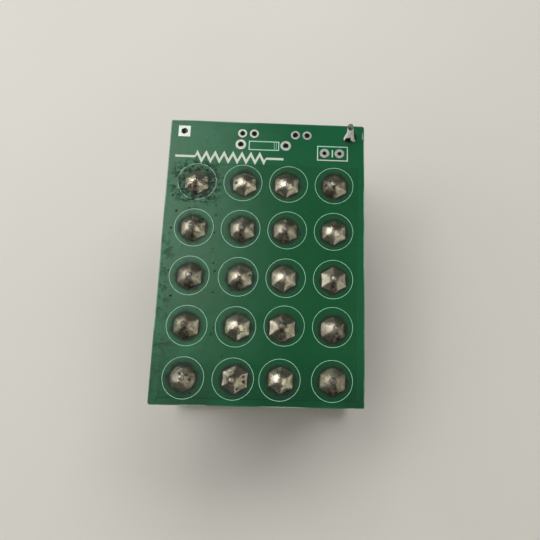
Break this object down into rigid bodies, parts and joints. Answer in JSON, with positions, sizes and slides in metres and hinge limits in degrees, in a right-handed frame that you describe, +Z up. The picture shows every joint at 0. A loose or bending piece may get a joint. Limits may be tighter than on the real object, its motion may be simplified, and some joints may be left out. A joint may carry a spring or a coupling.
{
  "type": "rf dummy load",
  "caption": "Dummy load for radio tests: rows of axial resistors stand between two green circuit boards, each lead soldered on a hexagonal pad.",
  "frame": {"origin": "under the middle of the boards, on the plane that the lower lead ends stand on", "axes": "+X across the boards, +Y towards the end with the plated holes and the link wire, +Z up"},
  "size_m": [0.033, 0.0472, 0.0254],
  "materials": {
    "board": "green solder mask on glass laminate",
    "plating": "tinned copper",
    "solder": "hand-soldered tin alloy with flux stains",
    "lead": "tinned copper wire",
    "lacquer": "blue-grey resistor lacquer with colour bands"
  },
  "bodies": {
    "root": {"lower_board": "board", "lower_barrels": "plating", "lower_joints": "solder", "lower_leads": "lead", "resistor_1_1": "lacquer", "resistor_1_2": "lacquer", "resistor_1_3": "lacquer", "resistor_1_4": "lacquer", "resistor_2_1": "lacquer", "resistor_2_2": "lacquer", "resistor_2_3": "lacquer", "resistor_2_4": "lacquer", "resistor_3_1": "lacquer", "resistor_3_2": "lacquer", "resistor_3_3": "lacquer", "resistor_3_4": "lacquer", "resistor_4_1": "lacquer", "resistor_4_2": "lacquer", "resistor_4_3": "lacquer", "resistor_4_4": "lacquer", "resistor_5_1": "lacquer", "resistor_5_2": "lacquer", "resistor_5_3": "lacquer", "resistor_5_4": "lacquer", "upper_leads": "lead", "upper_joints": "solder", "upper_barrels": "plating", "upper_board": "board", "link_wire": "lead", "link_lower_joint": "solder", "link_upper_joint": "solder"}
  },
  "joints": []
}
